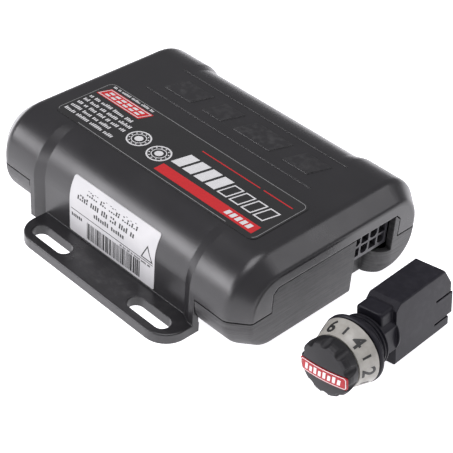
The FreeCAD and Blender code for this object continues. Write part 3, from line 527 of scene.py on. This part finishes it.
def label_small_print():
    """One short row above the tag and five rows below it, like small print."""
    row_lengths = (21.0, 25.5, 24.0, 19.5, 24.5)
    first_row, row_pitch = -13.4, 2.75
    small = Print().words(-44.5, -3.4, 20.5, 1.15, 1)
    for row, length in enumerate(row_lengths):
        small.words(-45.5, first_row - row_pitch * row, length, 1.6, row + 2)
    small.build("label_small_print", WHITE_INK, "side_label_paper", "main_unit", on_top)


def label_badges():
    """Two round badges: an outer ring, a ring of dots, an inner ring and a disc."""
    ring_r, dots_r, inner_r, disc_r, dot_r = 4.1, 3.3, 2.55, 1.5, 0.3
    dots = 12
    badges = Print()
    for x, y in ((-15.2, -17.4), (-4.6, -18.1)):
        badges.line(disc(x, y, ring_r, 40), 0.55, True)
        badges.line(disc(x, y, inner_r, 32), 0.3, True)
        for k in range(dots):
            angle = math.tau * k / dots
            badges.shape(disc(x + dots_r * math.cos(angle), y + dots_r * math.sin(angle), dot_r, 8))
        badges.shape(disc(x, y, disc_r, 24))
    badges.build("label_badges", WHITE_INK, "side_label_paper", "main_unit", on_top)


def label_blocks():
    """Four filled slanted blocks and four outlined ones, in one row."""
    pitch = 5.3
    blocks = Print()
    for k in range(4):
        blocks.shape(quad(1.0 + pitch * k, -18.0, 5.2 + pitch * k, -10.4, 1.6))
    for k in range(4):
        x = 22.6 + pitch * k
        blocks.line([(x, -17.8), (x + 3.8, -17.8), (x + 5.2, -11.4), (x + 1.4, -11.4)], 0.5, True)
    blocks.build("label_blocks", WHITE_INK, "side_label_paper", "main_unit", on_top)


def label_stripe():
    """A red stripe along the near edge, with five white dashes at its right."""
    stripe = Print().shape(quad(0.5, -25.0, 44.6, -20.6, 0.0))
    stripe.build("label_red_stripe", RED_INK, "red_inlay", "main_unit", on_top)
    dashes = Print()
    for k in range(5):
        dashes.shape(quad(31.5 + 2.3 * k, -24.0, 33.1 + 2.3 * k, -21.7, 0.35))
    dashes.build("label_stripe_marks", WHITE_INK, "side_label_paper", "main_unit", on_top_print)


def label_rule():
    """A straight red line over the blocks, broken once."""
    rule = Print().line([(3.4, -6.2), (30.0, -6.2)], 0.45).line([(31.6, -6.2), (44.2, -6.2)], 0.45)
    rule.build("label_red_rule", RED_INK, "red_inlay", "main_unit", on_top)


def side_label_print():
    """Bars of unequal width, rows like small print, a triangle and a dividing line."""
    bars_left, bars_right, bars_low, bars_high = -12.4, 14.0, 5.4, 12.0
    bars = Print()
    chance = random.Random(21)
    x = bars_left
    while x < bars_right:
        width = chance.choice((0.28, 0.28, 0.5, 0.75))
        bars.shape(quad(x, bars_low, x + width, bars_high))
        x += width + chance.choice((0.26, 0.3, 0.5))
    bars.words(4.0, 12.3, 14.5, 0.9, 31)
    bars.words(-20.2, 10.9, 7.5, 1.7, 35)
    bars.shape(quad(-20.6, 13.6, 19.8, 13.85))
    for row, (start, length) in enumerate(((-13.5, 24.0), (-17.5, 30.5), (-9.0, 17.0))):
        bars.words(start, 21.9 - 3.0 * row, length, 2.0, 40 + row)
    bars.line([(14.4, 14.6), (19.4, 14.6), (16.9, 19.6)], 0.42, True)
    bars.build("side_label_print", BLACK_INK, "chip_epoxy", "main_unit", on_side)


# ---------------------------------------------------------------- print on the remote head

# The remote's own axes: X across, Y to its rear and Z up, from the knob's place on its axis.
ROLL = math.radians(-8.1)
TURN = JOINTS["knob_turn"]
REAR = -Vector(TURN["axis"])
REMOTE = Matrix.Translation(Vector(TURN["pos_m"])) @ (
    Matrix.Rotation(math.atan2(-REAR.x, REAR.y), 4, "Z") @ Matrix.Rotation(ROLL, 4, "Y"))

DIAL_FRONT, DIAL_BACK = -20.6, -14.6    # the dial's cone along Y, in millimetres
DIAL_SMALL, DIAL_BIG = 9.05, 10.9       # its radii there
DIAL_STEP = 29.5                        # degrees from one setting to the next
MIDDLE_SETTING = 5
MIDDLE_AT = 6.6                         # degrees from the top of the dial to setting 5
NUMERAL_HEIGHT = 4.5
NUMERAL_STRIP = 0.45                    # numerals are cut into strips to follow the cone
TYPE_SIZE = 1.42                        # the typeface's size for a numeral one unit high
TYPE_WEIGHT = 0.035                     # how far its strokes are fattened, over the height
TICK_HALF_WIDTH, TICK_HALF_HEIGHT = 0.36, 1.5
PLATE_FRONT = -27.2                     # the inlay's middle along Y, in millimetres
KNOB_CROWN = 47.1                       # radius of its crowned face


def on_dial(angle, x, up, height):
    """A point on the dial's cone: x round it from the given angle, up from its middle."""
    slope = math.atan2(DIAL_BIG - DIAL_SMALL, DIAL_BACK - DIAL_FRONT)
    middle_r, middle_y = (DIAL_BIG + DIAL_SMALL) / 2, (DIAL_BACK + DIAL_FRONT) / 2
    lift = height / MM
    r = middle_r + up * math.sin(slope) + lift * math.cos(slope)
    y = middle_y + up * math.cos(slope) - lift * math.sin(slope)
    turn = math.radians(angle) + x / middle_r
    return REMOTE @ (Vector((r * math.sin(turn), y, r * math.cos(turn))) * MM)


def numeral_shape(number):
    """A numeral's flat faces from the built-in typeface, centred, in millimetres."""
    curve = bpy.data.curves.new("numeral", "FONT")
    curve.body = str(number)
    curve.size = NUMERAL_HEIGHT * TYPE_SIZE
    curve.align_x = "CENTER"
    curve.resolution_u = 3
    curve.offset = TYPE_WEIGHT * NUMERAL_HEIGHT
    holder = bpy.data.objects.new("numeral", curve)
    bpy.context.scene.collection.objects.link(holder)
    bpy.context.view_layer.update()
    flat = bpy.data.meshes.new_from_object(holder)
    mesh = bmesh.new()
    mesh.from_mesh(flat)
    for k in range(-4, 5):
        geometry = mesh.verts[:] + mesh.edges[:] + mesh.faces[:]
        bmesh.ops.bisect_plane(mesh, geom=geometry, plane_co=(NUMERAL_STRIP * k, 0, 0), plane_no=(1, 0, 0))
    mesh.verts.index_update()
    points = [(vertex.co.x, vertex.co.y) for vertex in mesh.verts]
    faces = [[vertex.index for vertex in face.verts] for face in mesh.faces]
    mesh.free()
    bpy.data.objects.remove(holder)
    bpy.data.curves.remove(curve)
    bpy.data.meshes.remove(flat)
    middle = (min(y for x, y in points) + max(y for x, y in points)) / 2
    return [(x, y - middle) for x, y in points], faces


def dial_print():
    """Numerals at the even settings and ticks at the odd ones, read from the outside in."""
    for setting in range(0, 11):
        angle = MIDDLE_AT + (MIDDLE_SETTING - setting) * DIAL_STEP
        mark = Print()
        if setting % 2:
            mark.shape(quad(-TICK_HALF_WIDTH, -TICK_HALF_HEIGHT, TICK_HALF_WIDTH, TICK_HALF_HEIGHT))
            name = "dial_tick_%d" % setting
        else:
            mark.points, mark.faces = numeral_shape(setting)
            name = "dial_numeral_%d" % setting
        mark.build(name, BLACK_INK, "chip_epoxy", "knob",
                   lambda x, y, height, at=angle: on_dial(at, x, y, height),
                   thickness=0.06 * MM, sink=0.12 * MM)


def on_plate(x, z, height):
    """A point on the crowned inlay in the knob's face."""
    crown = PLATE_FRONT + (x * x + z * z) / (2 * KNOB_CROWN)
    return REMOTE @ (Vector((x, crown - height / MM, z)) * MM)


def plate_print():
    """A pale edge line and a row of slanted bars across the red inlay."""
    left, low, right, high, corner = -8.35, -2.95, 8.35, 0.95, 0.8
    edge = Print().line(round_corners(left, low, right, high, corner), 0.22, True)
    for k in range(8):
        x = -6.9 + 1.75 * k
        bar_top = -0.25 if k % 2 else 0.15
        edge.shape(quad(x, -2.2, x + 1.05, bar_top, 0.35))
    edge.build("plate_marks", WHITE_INK, "side_label_paper", "knob", on_plate,
               thickness=0.04 * MM, sink=0.1 * MM)


# ---------------------------------------------------------------- small parts on the circuit board

BOARD_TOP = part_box("circuit_board")[1].z
FREE_AREAS = ((-50.5, -18.0, 4, 9), (11.5, 0.5, 1, 6), (26.5, 8.0, 3, 5))   # left, near, columns, rows
CHIP_PITCH_X, CHIP_PITCH_Y = 3.1, 3.0
END_OFFSET = 0.78           # from a chip's middle to the middle of a tinned end


def box_cluster(name, boxes, material):
    """One mesh of small upright boxes, each (middle x, middle y, length, width, low, high)."""
    mesh = bmesh.new()
    for x, y, length, width, low, high in boxes:
        size = Matrix.Diagonal((length, width, high - low, 1))
        place = Matrix.Translation((x, y, (low + high) / 2)) @ size
        bmesh.ops.create_cube(mesh, size=1, matrix=Matrix.Scale(MM, 4) @ place)
    for vertex in mesh.verts:
        vertex.co.z += BOARD_TOP
    data = bpy.data.meshes.new(name)
    mesh.to_mesh(data)
    mesh.free()
    data.materials.append(material)
    piece = bpy.data.objects.new(name, data)
    bpy.context.scene.collection.objects.link(piece)
    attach(piece, "main_unit")


def board_passives():
    """Chip resistors and capacitors with tinned ends, in the board's free areas."""
    bodies, caps = [], []
    for left, near, columns, rows in FREE_AREAS:
        for column in range(columns):
            for row in range(rows):
                unused_place = (column + 2 * row) % 5 == 3
                if unused_place:
                    continue
                x, y = left + CHIP_PITCH_X * column, near + CHIP_PITCH_Y * row
                bodies.append((x, y, 1.2, 1.25, 0.02, 0.6))
                caps += [(x + side * END_OFFSET, y, 0.36, 1.27, 0.01, 0.62) for side in (-1, 1)]
    box_cluster("board_passives", bodies, MATERIALS["chip_epoxy"])
    box_cluster("passive_ends", caps, MATERIALS["tinned_brass"])


# ---------------------------------------------------------------- camera, floor and light

CAMERA_AZIMUTH = math.radians(43.079)       # round from the near side towards the connector end
CAMERA_ELEVATION = math.radians(37.505)
CAMERA_ROLL = math.radians(4.337)
CAMERA_TARGET = Vector((21.166, -10.972, 15.0)) * MM
CAMERA_DISTANCE = 442.3 * MM
CAMERA_LENS = 107.88                        # in millimetres, on a sensor 36 mm wide
FLOOR_HALF = 4                              # metres from the middle of the floor to its edge

# name, place, what it points at, length, height, watts
LIGHTS = (
    ("overhead", (0.08, -0.08, 0.8), (0.02, 0, 0), 0.55, 0.55, 4.2),
    ("right_strip", (0.48, 0.50, 0.55), (0.05, 0, 0.02), 0.45, 0.3, 0.9),
    ("front_strip", (-0.20, -0.86, 0.20), (0, 0, 0.02), 0.6, 0.2, 2.4),
    ("left_strip", (-0.52, -0.68, 0.33), (0, 0, 0.02), 0.5, 0.3, 3.6),
)


def add_camera():
    """The view from the near right, above the connector end."""
    level = math.cos(CAMERA_ELEVATION)
    away = Vector((math.sin(CAMERA_AZIMUTH) * level, -math.cos(CAMERA_AZIMUTH) * level,
                   math.sin(CAMERA_ELEVATION)))
    right = (-away).cross(Vector((0, 0, 1))).normalized()
    up = right.cross(-away)
    rolled_right = right * math.cos(CAMERA_ROLL) + up * math.sin(CAMERA_ROLL)
    rolled_up = up * math.cos(CAMERA_ROLL) - right * math.sin(CAMERA_ROLL)
    data = bpy.data.cameras.new("camera")
    data.sensor_width = 36.0
    data.lens = CAMERA_LENS
    data.clip_start = 0.01
    camera = bpy.data.objects.new("camera", data)
    pose = Matrix([rolled_right, rolled_up, away]).transposed().to_4x4()
    pose.translation = CAMERA_TARGET + away * CAMERA_DISTANCE
    camera.matrix_world = pose
    bpy.context.scene.collection.objects.link(camera)
    bpy.context.scene.camera = camera


def add_floor():
    """A pale sheet on a light table: it glows a little, as translucent paper lit from below."""
    data = bpy.data.meshes.new("floor")
    corners = [(x, y, 0) for x, y in quad(-FLOOR_HALF, -FLOOR_HALF, FLOOR_HALF, FLOOR_HALF)]
    data.from_pydata(corners, [], [(0, 1, 2, 3)])
    floor = bpy.data.objects.new("floor", data)
    bpy.context.scene.collection.objects.link(floor)
    shader = Shader("floor_paper")
    tone = shader.noise(0.4, 2.0)
    shader.set(Base_Color=shader.spread(tone, grey(0.93), grey(0.90)), Roughness=0.95)
    shader.set(Specular_IOR_Level=0.1, Emission_Color=grey(1.0, (0.97, 0.96, 1.0)), Emission_Strength=1.0)
    data.materials.append(shader.material)


def add_area_light(name, place, aim, length, height, watts):
    """A rectangular soft light at a place, turned towards a point."""
    data = bpy.data.lights.new(name, "AREA")
    data.energy = watts
    data.color = (0.98, 0.965, 1.0)
    data.shape = "RECTANGLE"
    data.size = length
    data.size_y = height
    light = bpy.data.objects.new(name, data)
    light.location = place
    light.rotation_euler = (Vector(aim) - Vector(place)).to_track_quat("-Z", "Y").to_euler()
    bpy.context.scene.collection.objects.link(light)


def add_studio():
    """A box overhead, clear of what the top reflects, soft strips for the sides, and a dim room."""
    world = bpy.data.worlds.new("studio")
    world.use_nodes = True
    world.node_tree.nodes["Background"].inputs["Color"].default_value = (0.97, 0.96, 1.0, 1)
    world.node_tree.nodes["Background"].inputs["Strength"].default_value = 0.36
    bpy.context.scene.world = world
    for light in LIGHTS:
        add_area_light(*light)
    bpy.context.scene.view_settings.view_transform = "Standard"


def build_scene():
    paint_cad_nodes()
    label_border()
    label_tag()
    label_small_print()
    label_badges()
    label_blocks()
    label_stripe()
    label_rule()
    side_label_print()
    dial_print()
    plate_print()
    board_passives()
    add_floor()
    add_camera()
    add_studio()


build_scene()
